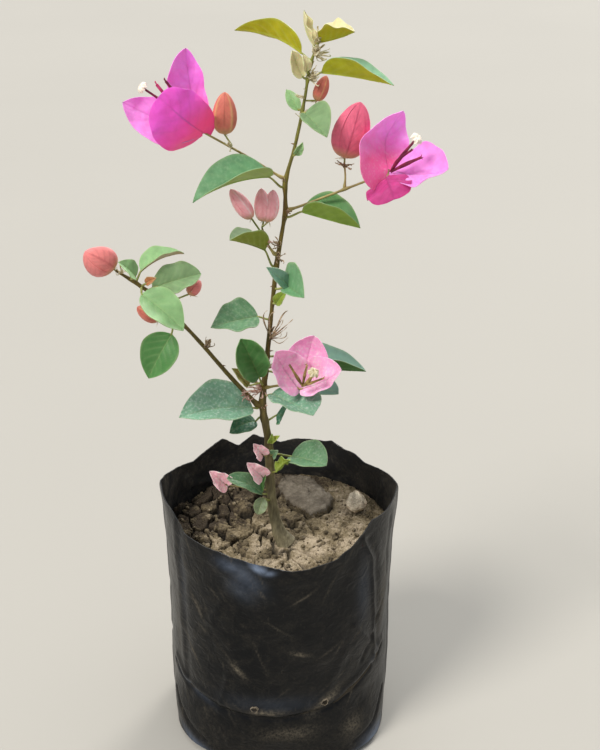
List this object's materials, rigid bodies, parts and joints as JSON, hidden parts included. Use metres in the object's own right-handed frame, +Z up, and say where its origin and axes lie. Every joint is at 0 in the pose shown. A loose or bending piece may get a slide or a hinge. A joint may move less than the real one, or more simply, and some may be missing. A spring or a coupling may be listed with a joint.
{
  "type": "potted bougainvillea",
  "caption": "Young bougainvillea in a soil-filled polythene nursery bag: a slender leaning stem with folded leaves, papery bracts and closed buds.",
  "frame": {"origin": "the centre of the bag's flat underside", "axes": "+Z up along the bag to the plant's tip, +X to the right and -Y to the front, where the bag's rim is lowest"},
  "size_m": [0.1869, 0.116, 0.4668],
  "materials": {
    "polythene": "satin, dusty and creased",
    "soil": "matt, cracked and crumbly",
    "stone": "matt",
    "bark": "dull, finely ridged",
    "stalk": "dull",
    "leaf": "satin",
    "bract": "papery",
    "bud": "papery"
  },
  "bodies": {
    "root": {"bag": "polythene", "soil": "soil", "pebble": "stone", "stem": "bark", "bough_left": "bark", "stalk_bud_hanging": "stalk", "stalk_bud_pair": "stalk", "stalk_flower_left": "stalk", "stalk_flower_low": "stalk", "stalk_flower_right": "stalk", "stalk_flower_single": "stalk", "leaf_back_right": "leaf", "leaf_base_curled": "leaf", "leaf_base_hanging": "leaf", "leaf_base_left": "leaf", "leaf_base_right": "leaf", "leaf_behind_flower": "leaf", "leaf_bough_arching": "leaf", "leaf_bough_back": "leaf", "leaf_bough_front": "leaf", "leaf_bough_hanging": "leaf", "leaf_bough_young": "leaf", "leaf_crossing": "leaf", "leaf_crossing_back": "leaf", "leaf_low_left": "leaf", "leaf_low_left_under": "leaf", "leaf_low_right": "leaf", "leaf_low_right_under": "leaf", "leaf_mid_left": "leaf", "leaf_mid_right": "leaf", "leaf_mid_right_small": "leaf", "leaf_shaded": "leaf", "leaf_tip_right": "leaf", "leaf_tip_upright": "leaf", "leaf_top_left": "leaf", "leaf_top_right": "leaf", "leaf_upper_left": "leaf", "leaf_upper_mid": "leaf", "leaf_upper_right": "leaf", "leaf_young_cream": "leaf", "bract_left_front": "bract", "bract_left_side": "bract", "bract_left_top": "bract", "bract_low_back": "bract", "bract_low_left": "bract", "bract_low_right": "bract", "bract_right_front": "bract", "bract_right_side": "bract", "bract_right_top": "bract", "bract_small_high": "bract", "bract_small_low": "bract", "bract_small_middle": "bract", "bud_behind": "bud", "bud_bough_tip": "bud", "bud_hanging": "bud", "bud_left": "bud", "bud_lone": "bud", "bud_pair": "bud", "bud_single": "bud", "bud_top": "bud"}
  },
  "joints": []
}
